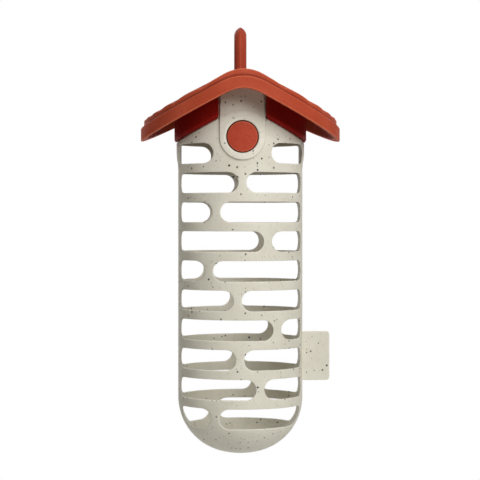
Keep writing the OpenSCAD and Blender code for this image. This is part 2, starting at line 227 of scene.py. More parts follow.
def outward(loop):
    """Unit normals of a closed anticlockwise outline, out of it, from the difference of its neighbours."""
    along = np.roll(loop, -1, 0) - np.roll(loop, 1, 0)
    normal = np.stack([along[:, 1], -along[:, 0]], -1)
    return normal / np.linalg.norm(normal, axis=1, keepdims=True)


def edge_turn(mesh):
    """How sharply the surface turns at each point, 1 on a convex edge of 0.5 mm radius and -1 in such a
    corner: the largest and the least of 2 * normal . (p - q) / |p - q|^2 over its neighbours q, added, times
    0.5 mm."""
    place = np.zeros(len(mesh.vertices) * 3, np.float32)
    mesh.vertices.foreach_get("co", place)
    normal = np.zeros_like(place)
    mesh.vertex_normals.foreach_get("vector", normal)
    pair = np.zeros(len(mesh.edges) * 2, np.int32)
    mesh.edges.foreach_get("vertices", pair)
    place, normal, pair = place.reshape(-1, 3), normal.reshape(-1, 3), pair.reshape(-1, 2)
    pair = np.concatenate([pair, pair[:, ::-1]])
    way = place[pair[:, 0]] - place[pair[:, 1]]
    length = (way ** 2).sum(1)
    pair, way, length = pair[length > 1e-8], way[length > 1e-8], length[length > 1e-8]
    turn = np.clip(MM * (normal[pair[:, 0]] * way).sum(1) / length, -1, 1)
    most, least = np.zeros(len(place)), np.zeros(len(place))
    np.maximum.at(most, pair[:, 0], turn)
    np.minimum.at(least, pair[:, 0], turn)
    return (most + least).astype(np.float32)


class Shell:
    """Points and faces gathered patch by patch, then joined where points coincide."""

    def __init__(self):
        self.points, self.faces, self.count = [], [], 0

    def add(self, points, faces):
        """One patch. A triangle is kept as four corners, the last of them twice."""
        self.points.append(points.reshape(-1, 3))
        if faces.shape[1] == 3:
            faces = np.concatenate([faces, faces[:, 2:]], 1)
        self.faces.append(faces + self.count)
        self.count += len(self.points[-1])

    def grid(self, points, closed=False, flip=False):
        """Quads over a grid of points, joined round its rows when it is closed."""
        rows, columns = points.shape[:2]
        i = np.arange(rows if closed else rows - 1)[:, None]
        j = np.arange(columns - 1)[None, :]
        k = (i + 1) % rows
        quads = [i * columns + j, k * columns + j, k * columns + j + 1, i * columns + j + 1]
        quads = np.stack(quads, -1).reshape(-1, 4)
        self.add(points, quads[:, ::-1] if flip else quads)

    def mirrored(self, axis):
        """The same patches once more, mirrored across the plane at right angles to an axis."""
        points = np.concatenate(self.points)
        faces = np.concatenate(self.faces)
        points[:, axis] *= -1
        self.add(points, faces[:, ::-1])

    def piece(self, name, body, slot, node, material):
        """A mesh object that rides on a body and stands for a node of the frame."""
        points = np.concatenate(self.points)
        faces = np.concatenate(self.faces)
        keys = np.round(points * 2e7).astype(np.int64)
        _, first, index = np.unique(keys, axis=0, return_index=True, return_inverse=True)
        faces = index.reshape(-1)[faces]
        fresh = faces != np.roll(faces, -1, 1)
        corners = fresh.sum(1)
        quads = faces[corners == 4]
        thin = faces[corners == 3]
        triangles = thin[fresh[corners == 3]].reshape(-1, 3)
        loops = np.concatenate([quads.reshape(-1), triangles.reshape(-1)])
        totals = np.concatenate([np.full(len(quads), 4), np.full(len(triangles), 3)])
        starts = np.concatenate([[0], np.cumsum(totals)[:-1]])
        mesh = bpy.data.meshes.new(name)
        mesh.vertices.add(len(first))
        mesh.vertices.foreach_set("co", points[first].reshape(-1))
        mesh.loops.add(len(loops))
        mesh.loops.foreach_set("vertex_index", loops.astype(np.int32))
        mesh.polygons.add(len(totals))
        mesh.polygons.foreach_set("loop_start", starts.astype(np.int32))
        mesh.polygons.foreach_set("use_smooth", np.ones(len(totals), bool))
        mesh.update(calc_edges=True)
        mesh.validate()
        mesh.attributes.new("edge", "FLOAT", "POINT").data.foreach_set("value", edge_turn(mesh))
        mesh.materials.append(material)
        piece = bpy.data.objects.new(name, mesh)
        bpy.context.scene.collection.objects.link(piece)
        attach(piece, body)
        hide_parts(node)


def inside(points, loops):
    """Which points lie in the first loop and out of the others: a ray to the right crosses the outlines an
    odd number of times."""
    odd = np.zeros(len(points), bool)
    for loop in loops:
        a, b = loop, np.roll(loop, -1, 0)
        near = np.where((points[:, 1] >= loop[:, 1].min()) & (points[:, 1] <= loop[:, 1].max()))[0]
        x, z = points[near, 0, None], points[near, 1, None]
        spans = (a[:, 1] > z) != (b[:, 1] > z)
        rise = np.where(a[:, 1] == b[:, 1], 1, b[:, 1] - a[:, 1])
        crossing = spans & (x < a[:, 0] + (z - a[:, 1]) / rise * (b[:, 0] - a[:, 0]))
        odd[near] ^= crossing.sum(1) % 2 == 1
    return odd


def fill(loops, creases, spacing):
    """Triangles over the flat region in the first loop and out of the others. The outlines and the open
    crease lines stay edges, and a staggered field of points fills the rest, in rows of nearly equal-sided
    triangles. Returns points and triangles."""
    low, high = loops[0].min(0), loops[0].max(0)
    u, v = np.meshgrid(np.arange(low[0], high[0], spacing), np.arange(low[1], high[1], spacing * 0.87))
    u = u + (np.arange(len(u)) % 2)[:, None] * spacing / 2
    field = np.stack([u.reshape(-1), v.reshape(-1)], -1)
    for line in [*loops, *creases]:
        near = np.all((field > line.min(0) - spacing) & (field < line.max(0) + spacing), axis=1)
        gap = np.linalg.norm(field[near, None] - line[None], axis=2).min(1)
        keep = np.ones(len(field), bool)
        keep[np.where(near)[0][gap < spacing * 0.6]] = False
        field = field[keep]
    field = field[inside(field, loops)]
    points, edges, count = [], [], 0
    for line, closed in [(l, True) for l in loops] + [(c, False) for c in creases]:
        n = len(line)
        points.append(line)
        edges += [(count + i, count + (i + 1) % n) for i in range(n if closed else n - 1)]
        count += n
    points = np.concatenate([*points, field])
    size = 1000
    out, _, triangles, origin, _, _ = delaunay_2d_cdt((points * size).tolist(), edges, [], 0, 1e-5)
    flat = np.array([tuple(p) for p in out]) / size
    known = np.array([o[0] if o else -1 for o in origin])
    flat[known >= 0] = points[known[known >= 0]]
    triangles = np.array(triangles)
    triangles = triangles[inside(flat[triangles].mean(1), loops)]
    a, b, c = flat[triangles].transpose(1, 0, 2)
    area = (b[:, 0] - a[:, 0]) * (c[:, 1] - a[:, 1]) - (b[:, 1] - a[:, 1]) * (c[:, 0] - a[:, 0])
    triangles = np.where(area[:, None] < 0, triangles[:, ::-1], triangles)
    return flat, triangles[np.abs(area) > 1e-13]


def bend(a, corner, b, steps):
    """Points of a rounded edge: a parabola from a to b, pulled towards the corner."""
    t = np.linspace(0, 1, steps)[:, None, None]
    return (1 - t) ** 2 * a + 2 * t * (1 - t) * corner + t * t * b


FIELD_SPACING = 0.0019
half_turn = np.linspace(-math.pi / 2, math.pi / 2, 73)
strap_turns = np.arcsin((STRAP_W / 2 + np.array(STRAP_STEP[0]) * MM) / STRAP_R)
clear_of_strap = np.abs(np.abs(half_turn)[:, None] - strap_turns).min(1) > 0.006
top_turn = np.sort(np.concatenate([half_turn[clear_of_strap], strap_turns, -strap_turns]))
outer_top = gable(NECK_TOP_R * np.sin(top_turn), NECK_TOP)
side_z = np.linspace(SHELL_Z, outer_top[0], 120)
cage = Shell()


def wall_skin(radius, holes, creases, flip):
    """One face of the wall over the front half of the cage, with its slots and hole left open."""
    rim = np.concatenate([
        np.stack([CAGE_R * half_turn[:-1], 0 * half_turn[:-1] + SHELL_Z], -1),
        np.stack([0 * side_z[:-1] + CAGE_R * half_turn[-1], side_z[:-1]], -1),
        np.stack([CAGE_R * top_turn, outer_top], -1)[:0:-1],
        np.stack([0 * side_z[1:] + CAGE_R * half_turn[0], side_z[1:]], -1)[::-1]])
    flat, triangles = fill([rim, *holes], creases, FIELD_SPACING)
    triangles = triangles[:, ::-1] if flip else triangles
    cage.add(on_surface(radius, flat[:, 0] / CAGE_R, flat[:, 1]), triangles)


def unrolled(x, z, radius):
    """Places on the unrolled wall of points on a round of this radius, seen from the front at x and z."""
    return np.stack([CAGE_R * np.arcsin(x / radius), z], -1)


def about_button(radius, count):
    """A full circle about the button as x and z, ending where it starts."""
    turn = np.linspace(0, 2 * math.pi, count)
    return radius * np.cos(turn), BUTTON_Z + radius * np.sin(turn)


EDGE_OUT = 0.0007
EDGE_IN = 0.0004
EDGE_HOLE = 0.00001
slots = [slot_loop(STRUT_X[row], side, row) for row in range(ROWS) for side in (-1, 1)]
hole = np.stack(about_button(HOLE_R, 73), -1)[:-1]
outer_loops, inner_loops = [], []
for loop in [*slots, hole]:
    x, z = loop.T
    n = outward(loop)
    wide, narrow = (EDGE_HOLE, EDGE_HOLE) if loop is hole else (EDGE_OUT, EDGE_IN)
    outer_z, inner_z = z + wide * n[:, 1], z + narrow * n[:, 1]
    turn = to_turn(x, z, outer_radius)
    outer = to_turn(x + wide * np.cos(turn) * n[:, 0], outer_z, outer_radius)
    inner_turn = to_turn(x, z, inner_radius)
    inner = inner_turn + narrow * n[:, 0] / CAGE_R
    a, corner = on_surface(outer_radius, outer, outer_z), on_surface(outer_radius, turn, z)
    d, inner_corner = on_surface(inner_radius, inner, inner_z), on_surface(inner_radius, inner_turn, z)
    way = inner_corner - corner
    way = way / np.linalg.norm(way, axis=1, keepdims=True)
    b, c = corner + wide * way, inner_corner - narrow * way
    across = np.concatenate([bend(a, corner, b, 5), bend(c, inner_corner, d, 4)])
    cage.grid(across.transpose(1, 0, 2), closed=True)
    outer_loops.append(np.stack([CAGE_R * outer, outer_z], -1))
    inner_loops.append(np.stack([CAGE_R * inner, inner_z], -1))

creases = []
for d in np.array(STRAP_STEP[0]) * MM:
    reach = STRAP_W / 2 + d
    arc = np.linspace(-math.pi, 0, 45)
    rise = np.linspace(BUTTON_Z, np.interp(np.arcsin(reach / STRAP_R), top_turn, outer_top), 24)
    x = np.concatenate([0 * rise[:0:-1] - reach, reach * np.cos(arc), 0 * rise[1:] + reach])
    z = np.concatenate([rise[:0:-1], BUTTON_Z + reach * np.sin(arc), rise[1:]])
    creases.append(unrolled(x, z, STRAP_R))
for d in np.array(SHELL_STEP[0]) * MM:
    for side in (-1, 1):
        turn = side * np.linspace(np.arcsin((STRAP_W / 2 + 0.0007) / STRAP_R), math.pi / 2 - 0.01, 44)
        creases.append(np.stack([CAGE_R * turn, collar_line(STRAP_R * np.sin(turn)) + d], -1))
for d in np.array(HOLE_STEP[0][1:]) * MM:
    creases.append(unrolled(*about_button(HOLE_R + d, 73), STRAP_R))
for d in (-CREASE_W / 2, CREASE_W / 2):
    x = np.linspace(-CREASE_HALF, CREASE_HALF, 24)
    creases.append(unrolled(x, crease_line(x) + d, STRAP_R))
wall_skin(outer_radius, outer_loops, creases, False)

creases = [unrolled(*about_button(SEAT_R + d, 61), CAGE_R - WALL) for d in np.array(SEAT_STEP[0]) * MM]
for d in (-LEDGE_EDGE, LEDGE_EDGE):
    half, low, high = LEDGE_HALF + d, LEDGE_LOW - d, LEDGE_HIGH + d
    corners = np.array([[-half, low], [half, low], [half, high], [-half, high], [-half, low]])
    creases.append(corners / [(CAGE_R - WALL) / CAGE_R, 1])
wall_skin(inner_radius, inner_loops, creases, True)

step = np.linspace(0, 1, 4)[:, None, None]
top_out = on_surface(outer_radius, top_turn, outer_top)
top_in = on_surface(inner_radius, top_turn, outer_top)
cage.grid((top_out * (1 - step) + top_in * step).transpose(1, 0, 2))

DRAIN_R = 0.003
DRAIN_OUT = 0.0007
DRAIN_IN = 0.0005
DRAIN_ROUND = 0.0006


def bowl_line(inset, radii):
    """Heights of the bowl under given radii, from the same two rounds as the wall."""
    side = BOWL_TOP - np.sqrt((BOWL_R - inset) ** 2 - np.clip(radii - BOWL_IN, 0, None) ** 2)
    edge = bottom_edge(inset)
    bottom = BOTTOM_R - np.sqrt((BOTTOM_R - inset) ** 2 - np.minimum(radii, edge) ** 2)
    return np.where(radii > edge, side, bottom)


def bowl_radii(inset, past_drain):
    """Radii from the shell's lower edge in to the drain hole, closer together at the edge."""
    shell_r = float(cage_radius(np.array(SHELL_Z), inset))
    return DRAIN_R + past_drain + (shell_r - DRAIN_R - past_drain) * (1 - np.linspace(0, 1, 22) ** 1.6)


out_r, in_r = bowl_radii(0, DRAIN_OUT), bowl_radii(WALL, DRAIN_IN)
out_z, in_z = bowl_line(0, out_r), bowl_line(WALL, in_r)
lip = np.linspace(0, 1, 6)
lip_r = DRAIN_R + DRAIN_ROUND * np.abs(2 * lip - 1) ** 2
lip_z = out_z[-1] + (in_z[-1] - out_z[-1]) * (0.12 + 0.76 * lip)
line_r = np.concatenate([out_r, lip_r, in_r[::-1]])
line_z = np.concatenate([out_z, lip_z, in_z[::-1]])
line_z[0] = line_z[-1] = SHELL_Z
turn = half_turn[:, None]
bowl = np.stack([line_r * np.sin(turn), -line_r * np.cos(turn), line_z + 0 * turn], -1)
cage.grid(bowl, flip=True)
cage.mirrored(1)


class Socket:
    """A shader socket that takes part in sums: each operator adds its Math node."""

    tree = None

    def __init__(self, socket):
        self.socket = socket

    @staticmethod
    def node(kind, inputs, output=0, **settings):
        """One node: its settings first, then the values or links of its inputs, by name or number."""
        node = Socket.tree.nodes.new(kind)
        for name, value in settings.items():
            setattr(node, name, value)
        for key, value in inputs.items():
            if isinstance(value, Socket):
                Socket.tree.links.new(value.socket, node.inputs[key])
            else:
                node.inputs[key].default_value = value
        return Socket(node.outputs[output])

    def math(self, operation, other):
        return Socket.node("ShaderNodeMath", {0: self, 1: other}, operation=operation)

    def __add__(self, other):
        return self.math("ADD", other)

    def __mul__(self, other):
        return self.math("MULTIPLY", other)

    def __sub__(self, other):
        return self.math("SUBTRACT", other)

    def ramp(self, low, high, to_low=0.0, to_high=1.0):
        """A smooth step from one value to another between two bounds."""
        bounds = {"Value": self, "From Min": low, "From Max": high, "To Min": to_low, "To Max": to_high}
        return Socket.node("ShaderNodeMapRange", bounds, interpolation_type="SMOOTHSTEP")

    def mixed(self, first, second):
        """A colour between two colours, by this factor."""
        return Socket.node("ShaderNodeMix", {0: self, 6: first, 7: second}, output=2, data_type="RGBA")


def colour(red, green, blue):
    """A colour given in the 0 to 255 steps of a picture, as the linear values that a shader takes."""
    steps = np.array([red, green, blue]) / 255
    linear = np.where(steps > 0.04045, ((steps + 0.055) / 1.055) ** 2.4, steps / 12.92)
    return (*linear.tolist(), 1.0)


def finish(name, roughness, shine):
    """A new material, its shader node and the place of a point on the piece."""
    material = bpy.data.materials.new(name)
    material.use_nodes = True
    Socket.tree = material.node_tree
    shader = Socket.tree.nodes["Principled BSDF"]
    shader.inputs["Roughness"].default_value = roughness
    shader.inputs["Specular IOR Level"].default_value = shine
    place = Socket.node("ShaderNodeTexCoord", {}, output="Object")
    return material, shader, place


def noise(place, scale, detail=2.0):
    """Cloudy noise from 0 to 1, with this many waves to the metre."""
    return Socket.node("ShaderNodeTexNoise", {"Vector": place, "Scale": scale, "Detail": detail})


def moved(operation, place, by):
    """A place changed by a vector."""
    return Socket.node("ShaderNodeVectorMath", {0: place, 1: by}, operation=operation)


def bump(strength, depth, height):
    """A surface normal that follows a height."""
    return Socket.node("ShaderNodeBump", {"Strength": strength, "Distance": depth, "Height": height})


def feed(shader, **sockets):
    """Links what varies over the surface to the shader."""
    for name, socket in sockets.items():
        Socket.tree.links.new(socket.socket, shader.inputs[name.replace("_", " ")])


def edges():
    """How far a point lies on a convex edge, and how far in a corner, each from 0 to 1: the masks of the
    painted highlight on edges and of the painted shade in corners.
    """
    turn = Socket.node("ShaderNodeAttribute", {}, output="Fac", attribute_name="edge")
    return turn.ramp(0.2, 0.8), (turn * -1).ramp(0.2, 0.8)


def specks(place, size, share, low, high):
    """Round specks of many sizes: one may lie in each cell of a Voronoi pattern, and the cell's own random
    colour says whether it does, how large it is and how dark."""
    cells = {"Vector": place, "Scale": 1 / size}
    distance = Socket.node("ShaderNodeTexVoronoi", cells)
    chances = {0: Socket.node("ShaderNodeTexVoronoi", cells, output="Color")}
    chance = Socket.node("ShaderNodeSeparateColor", chances)
    depth = Socket.node("ShaderNodeSeparateColor", chances, output="Green").ramp(0, 1, 0.4, 1.0)
    radius = chance.ramp(1 - share, 1, low, high)
    there = chance.ramp(1 - share, 1 - share + 0.01)
    return (radius - distance).ramp(-0.02, 0.03) * there * depth


def stone_plastic(name, speck_share):
    """Matt plastic with a mineral fill: a warm light grey with faint clouds, blue-black specks, smaller
    brown-grey ones, a fine grain in the surface, painted highlights on edges and painted shade in corners."""
    material, shader, place = finish(name, 0.5, 0.2)
    wave = Socket.node("ShaderNodeTexNoise", {"Vector": place, "Scale": 1400.0}, output="Color")
    bent = moved("ADD", place, moved("MULTIPLY", wave, (0.0011, 0.0011, 0.0011)))
    base = noise(place, 55.0, 3.0).ramp(0.3, 0.7).mixed(colour(215, 211, 196), colour(222, 219, 205))
    base = (noise(place, 620.0).ramp(0.45, 0.8) * 0.22).mixed(base, colour(188, 181, 165))
    # Painted highlight and painted shade: convex edges are mixed towards a paler grey, as if catching the
    # light, and corners towards a darker brown-grey, where shade falls.
    painted_edge_highlight, corner = edges()
    base = (painted_edge_highlight * 0.5).mixed(base, colour(240, 237, 227))
    base = (corner * 0.5).mixed(base, colour(150, 141, 120))
    faint = specks(bent, 0.0019, 0.5, 0.08, 0.22)
    dark = specks(bent, 0.0026, speck_share, 0.06, 0.29)
    base = (faint * 0.6).mixed(base, colour(140, 132, 118))
    base = dark.mixed(base, colour(46, 48, 57))
    height = noise(place, 900.0) * 0.6 + noise(place, 260.0) * 0.8 - dark * 0.4
    rough = noise(place, 300.0).ramp(0.3, 0.7, 0.44, 0.58)
    feed(shader, Base_Color=base, Roughness=rough, Normal=bump(0.16, 0.0001, height))
    return material


stone = stone_plastic("speckled stone", 0.46)
cage.piece("cage_moulding", "lift_off_cage", "speckled_stone_plastic", "cage", stone)

# The tag: a separate bare plate of the same plastic with fewer specks, moulded with rounded edges and pushed
# edge on into a slit in the cage's right side.
TAG_LOW = np.array([0.0396, 0.0473])
TAG_HIGH = np.array([0.0584, 0.0793])
TAG_T = 0.0022
TAG_CORNER = 0.002
TAG_EDGE = 0.0005


def plate(shell, low, high, corner, thick, edge):
    """An upright plate between two corners, given as x, z. Its outline is a rounded rectangle; the rings run
    from its front face over a rounded edge to its rear face, and each face closes towards its middle."""
    middle = (low + high) / 2
    arc = np.linspace(0, math.pi / 2, 9)
    quarter = np.stack([np.cos(arc), np.sin(arc)], -1)
    loop = []
    for turns, at in enumerate([high, (low[0], high[1]), low, (high[0], low[1])]):
        cos, sin = round(math.cos(turns * math.pi / 2)), round(math.sin(turns * math.pi / 2))
        away = quarter @ np.array([[cos, sin], [-sin, cos]])
        at = np.array(at) - np.sign(np.array(at) - middle) * corner
        loop.append(np.concatenate([at + 0 * away, away], 1))
    loop = np.concatenate(loop)
    base, away = loop[:, :2], loop[:, 2:]
    rings = []
    for share in (0, 0.3, 0.6, 0.9):
        rings.append((middle + (base - middle) * share + away * (corner - edge) * share, -thick / 2))
    for t in np.linspace(0, math.pi / 2, 6):
        ring = base + away * (corner - edge + edge * math.sin(t))
        rings.append((ring, edge - edge * math.cos(t) - thick / 2))
    rings += [(ring, -y) for ring, y in rings[::-1]]
    points = np.array([np.stack([ring[:, 0], 0 * ring[:, 0] + y, ring[:, 1]], -1) for ring, y in rings])
    shell.grid(points.transpose(1, 0, 2), closed=True, flip=True)


tag = Shell()
plate(tag, TAG_LOW, TAG_HIGH, TAG_CORNER, TAG_T, TAG_EDGE)
tag.piece("side_tag_plate", "lift_off_cage", "tag_plastic", "side_tag", stone_plastic("tag plastic", 0.2))

# The push buttons: red moulded discs that sit nearly flush in the straps' holes. Each has a flange behind
# the wall that keeps it in, and a stem that presses on the catch.
FACE_R = STRAP_R - 0.0003
BUTTON_R = 0.0097
BUTTON_ROUND = 0.0007
FLANGE_R = 0.0118
FLANGE_U = (0.036, 0.0373)
FLANGE_EDGE = 0.0003
STEM_R = 0.003
STEM_U = 0.0343
STEM_FOOT = 0.0006
STEM_EDGE = 0.0004


def red_plastic(name, low, high):
    """Matt brick red plastic between two tones, with the fine pebbled grain of a spark-eroded mould, faint
    wipes, a painted highlight on convex edges and painted shade in corners."""
    low, high = np.array(low), np.array(high)
    material, shader, place = finish(name, 0.6, 0.08)
    grain = noise(place, 2600.0, 1.0)
    base = noise(place, 45.0, 3.0).ramp(0.3, 0.7).mixed(colour(*low), colour(*high))
    base = (grain.ramp(0.5, 0.75) * 0.16).mixed(base, colour(200, 104, 78))
    base = (noise(place, 700.0).ramp(0.45, 0.8) * 0.35).mixed(base, colour(*low * (0.84, 0.74, 0.74)))
    # Painted highlight and painted shade: convex edges are mixed towards a paler red, as if catching the
    # light, and corners towards a darker red, where shade falls.
    painted_edge_highlight, corner = edges()
    base = (painted_edge_highlight * 0.5).mixed(base, colour(*high * (1.24, 1.6, 1.7)))
    base = (corner * 0.6).mixed(base, colour(*low * (0.6, 0.5, 0.5)))
    height = grain * 0.7 + noise(place, 700.0) * 0.6
    rough = noise(place, 240.0).ramp(0.3, 0.7, 0.54, 0.66)
    feed(shader, Base_Color=base, Roughness=rough, Normal=bump(0.3, 0.0001, height))
    return material


red = red_plastic("brick red", (166, 63, 43), (178, 73, 52))


def button(side):
    """One button as rings about its own axis, from the middle of its face to the end of its stem, each with
    its radius, its distance out and how far it falls back. Without a distance it lies on the face, a part of
    a round about the cage's axis: its distance out is sqrt(FACE_R^2 - x^2)."""
    turn = np.linspace(0, 2 * math.pi, 65)[:-1]
    flat_r, (low, high), edge = BUTTON_R - BUTTON_ROUND, FLANGE_U, FLANGE_EDGE
    rings = [(r, None, 0.0) for r in np.linspace(0, flat_r, 12)]
    for t in np.linspace(0, math.pi / 2, 7)[1:]:
        rings.append((flat_r + BUTTON_ROUND * math.sin(t), None, BUTTON_ROUND - BUTTON_ROUND * math.cos(t)))
    rings += [(BUTTON_R, high + edge, 0), (BUTTON_R + edge, high, 0)]
    rings += [(FLANGE_R - edge, high, 0), (FLANGE_R, high - edge, 0)]
    rings += [(FLANGE_R, low + edge, 0), (FLANGE_R - edge, low, 0)]
    rings += [(STEM_R + STEM_FOOT, low, 0), (STEM_R, low - STEM_FOOT, 0)]
    rings += [(STEM_R, STEM_U + STEM_EDGE, 0), (STEM_R - STEM_EDGE, STEM_U, 0), (0.0, STEM_U, 0)]
    points = []
    for r, u, less in rings:
        x = r * np.cos(turn)
        out = np.sqrt(FACE_R ** 2 - x * x) - less if u is None else u + 0 * x
        points.append(np.stack([-side * x, side * out, BUTTON_Z + r * np.sin(turn)], -1))
    shell = Shell()
    shell.grid(np.array(points).transpose(1, 0, 2), closed=True, flip=True)
    return shell


button(-1).piece("front_push_button", "front_push", "brick_red_plastic", "front_button", red)
button(1).piece("rear_push_button", "rear_push", "brick_red_plastic", "rear_button", red)

# The catches, the bar that carries them and the screws: sprung steel leaves bent out at the foot, hung from
# a red moulded bar. Their solids have the true shapes, so they only take their finish.


def steel(name, rough, tone):
    """Rolled or turned steel: fine streaks, a little colour variation and a few darker spots."""
    material, shader, place = finish(name, rough, 0.5)
    streak = noise(moved("MULTIPLY", place, (1.0, 1.0, 0.04)), 4000.0, 3.0)
    dull, bright = colour(*np.full(3, 150) * tone), colour(*np.array([196, 197, 199]) * tone)
    base = streak.ramp(0.3, 0.7).mixed(dull, bright)
    feed(shader, Base_Color=base, Roughness=streak.ramp(0.3, 0.7, rough - 0.06, rough + 0.08),
         Metallic=noise(place, 150.0).ramp(0.2, 0.3, 0.9, 1.0), Normal=bump(0.1, 0.00005, streak))
    return material


def dress(node, material):
    """Gives a solid of the frame its finish."""
    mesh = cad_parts[node].data
    mesh.materials.clear()
    mesh.materials.append(material)


spring, screw = steel("spring steel", 0.34, 1.0), steel("screw steel", 0.28, 1.05)
for node in ("front_catch", "rear_catch"):
    dress(node, spring)
for node in ("carrier_screws", "collar_screws", "hook_screw"):
    dress(node, screw)
dress("catch_carrier", red)

# The collar: a red moulding with a round wall that ends in a gable line, open in front and at the
# rear for the straps, and a gabled plate on top that four screws hold under the roof. Its red is darker
# than the other parts' as painted shade, for the shadow it lies in under the roof.
COLLAR_R = 0.0431
COLLAR_IN = 0.041
COLLAR_EDGE = 0.0004
RIM_H = 0.0013
RIM_R = COLLAR_R - 0.0005
RIM_EDGE = 0.0003
WINDOW = STRAP_W / 2 + 0.0003
CORNER_R = 0.003
PLATE_TOP = 0.2443
PLATE_LOW = 0.2421
PLATE_R = COLLAR_IN + 0.0006
POST_AT = 0.02
PAD_R = 0.0056
PAD_LOW = 0.22716
PAD_H = 0.0085
PAD_EDGE = 0.0005
PAD_BORE = 0.0018


def collar_edge(x):
    """Height of the collar's lower edge: the gable line, and a rounded corner beside the strap."""
    slant = math.hypot(1, COLLAR_FALL)
    mid_x = WINDOW + CORNER_R
    mid_z = COLLAR_LINE - COLLAR_FALL * mid_x + CORNER_R * slant
    foot = mid_x - CORNER_R * COLLAR_FALL / slant
    arc = mid_z - np.sqrt(np.clip(CORNER_R ** 2 - (x - mid_x) ** 2, 0, None))
    return np.where(x < foot, arc, collar_line(x))


def turned(shell, line, x, y):
    """A closed round body about an upright line: its outline is given as radius and height, from the lowest
    point on the line to the highest."""
    turn = np.linspace(0, 2 * math.pi, 41)[:-1, None]
    r, z = np.array(line).T
    shell.grid(np.stack([x + r * np.cos(turn), y + r * np.sin(turn), z + 0 * turn], -1), closed=True)


def collar_points(radius, lift):
    """A row of points along the collar's right front quarter at a radius, this far above its lower edge.
    They are closer together beside the strap."""
    first = np.arcsin(WINDOW / radius)
    share = np.concatenate([np.linspace(0, 0.1, 15), np.linspace(0.1, 1, 34)[1:]])
    turn = first + (math.pi / 2 - first) * share
    x = radius * np.sin(turn)
    return np.stack([x, -radius * np.cos(turn), collar_edge(x) + lift], -1)


def collar_top(radius, drop):
    """The same row of points, moved up to this far below the top of the collar."""
    top = collar_points(radius, 0.0)
    top[:, 2] = gable(top[:, 0], PLATE_TOP) - drop
    return top


def between(first, last, count):
    """Rows of points from one to another, with both of them."""
    return [first + (last - first) * level for level in np.linspace(0, 1, count)]


collar = Shell()
rows = [collar_points(COLLAR_IN + RIM_EDGE, 0.0), collar_points(RIM_R - RIM_EDGE, 0.0),
        collar_points(RIM_R - 0.0001, 0.0001), collar_points(RIM_R, RIM_EDGE),
        collar_points(RIM_R, RIM_H - RIM_EDGE), collar_points(COLLAR_R - 0.0002, RIM_H)]
rows += between(collar_points(COLLAR_R, RIM_H + RIM_EDGE), collar_top(COLLAR_R, COLLAR_EDGE), 9)
rows += [collar_top(COLLAR_R - COLLAR_EDGE, 0.0), collar_top(COLLAR_IN + COLLAR_EDGE, 0.0)]
rows += between(collar_top(COLLAR_IN, COLLAR_EDGE), collar_points(COLLAR_IN, RIM_EDGE), 15)
section = np.array(rows)
collar.grid(section.transpose(1, 0, 2))
collar.grid(np.stack([section[-1], section[0]]).transpose(1, 0, 2))
half = len(rows) // 2
front_edge = section[:, 0]
collar.grid(np.stack([front_edge[:half], front_edge[::-1][:half]]), flip=True)
collar.mirrored(0)
collar.mirrored(1)


def gabled(ridge_z, flat=RIDGE_FLAT):
    """A gable line as a height over x and y."""
    return lambda x, y: gable(x, ridge_z, ROOF_FALL, flat)


def lowered(height, drop):
    """A height over x and y, less a drop."""
    return lambda x, y: height(x, y) - drop


def gabled_rows(radius, turns, columns):
    """Places over a round seen from above: rows across it at radius * sin(turn), each from edge to edge."""
    y = radius * np.sin(turns)[:, None]
    x = radius * np.cos(turns)[:, None] * np.linspace(-1, 1, columns)[None, :]
    return x, y + 0 * x


def around(turns):
    """Directions round the edge of such rows, anticlockwise from the first row's right end."""
    right = np.stack([np.cos(turns), np.sin(turns)], -1)
    return np.concatenate([right[:-1], (right * [-1, 1])[:0:-1]])


def layer(shell, turns, columns, faces, rings):
    """A closed slab with a round outline. Each of the two faces is a radius and a height over x and y; the
    rings between them are a radius and a height each. The order is top face, rings downward, lower face."""
    edge = around(turns)
    for (radius, height), flip in zip(faces, (True, False)):
        x, y = gabled_rows(radius, turns, columns)
        shell.grid(np.stack([x, y, height(x, y)], -1), flip=flip)
    points = []
    for radius, height in [faces[0], *rings, faces[1]]:
        x, y = radius * edge[:, 0], radius * edge[:, 1]
        points.append(np.stack([x, y, height(x, y)], -1))
    shell.grid(np.array(points).transpose(1, 0, 2), closed=True, flip=True)


plate_turns = np.linspace(-math.pi / 2, math.pi / 2, 73)
plate_faces = [(PLATE_R, gabled(PLATE_TOP - 0.00005)), (PLATE_R, gabled(PLATE_LOW))]
layer(collar, plate_turns, 41, plate_faces, [])
pad = [(0, PAD_LOW), (PAD_BORE, PAD_LOW), (PAD_R - PAD_EDGE, PAD_LOW), (PAD_R, PAD_LOW + PAD_EDGE),
       (PAD_R, PAD_LOW + PAD_H), (0, PAD_LOW + PAD_H)]
for side_x in (-1, 1):
    for side_y in (-1, 1):
        turned(collar, pad, side_x * POST_AT, side_y * POST_AT)
# Painted shade: the collar's red is darker and deeper than the brick red, for the shadow under the roof.
collar_red_painted_shade = red_plastic("collar red, painted shade", (118, 9, 4), (126, 12, 6))
collar.piece("collar_moulding", "head", "brick_red_plastic", "collar", collar_red_painted_shade)

# The roof: one red moulding with a round outline and a rounded ridge. Rows of tiles with rounded crests and
# sharp grooves run across it, set in a little from the fascia that stands all round below them.
ROOF_R = 0.06499
FASCIA_T = 0.004
FASCIA_TOP = 0.2454
EAVE = 0.2367
EAVE_FLAT = 0.011
EAVE_EDGE = 0.0004
CEILING = 0.2449
CEILING_EDGE = 0.0008
LIP = 0.0009
TILE_R = 0.0629
TILE_TOP = 0.2493
TILE_FLAT = 0.0124
TILE_PITCH = 0.0114
TILE_GROOVE = 0.0014
TILE_SWELL = 0.6
TILE_EDGE = 0.0005
TILE_FACE_R = TILE_R - TILE_EDGE


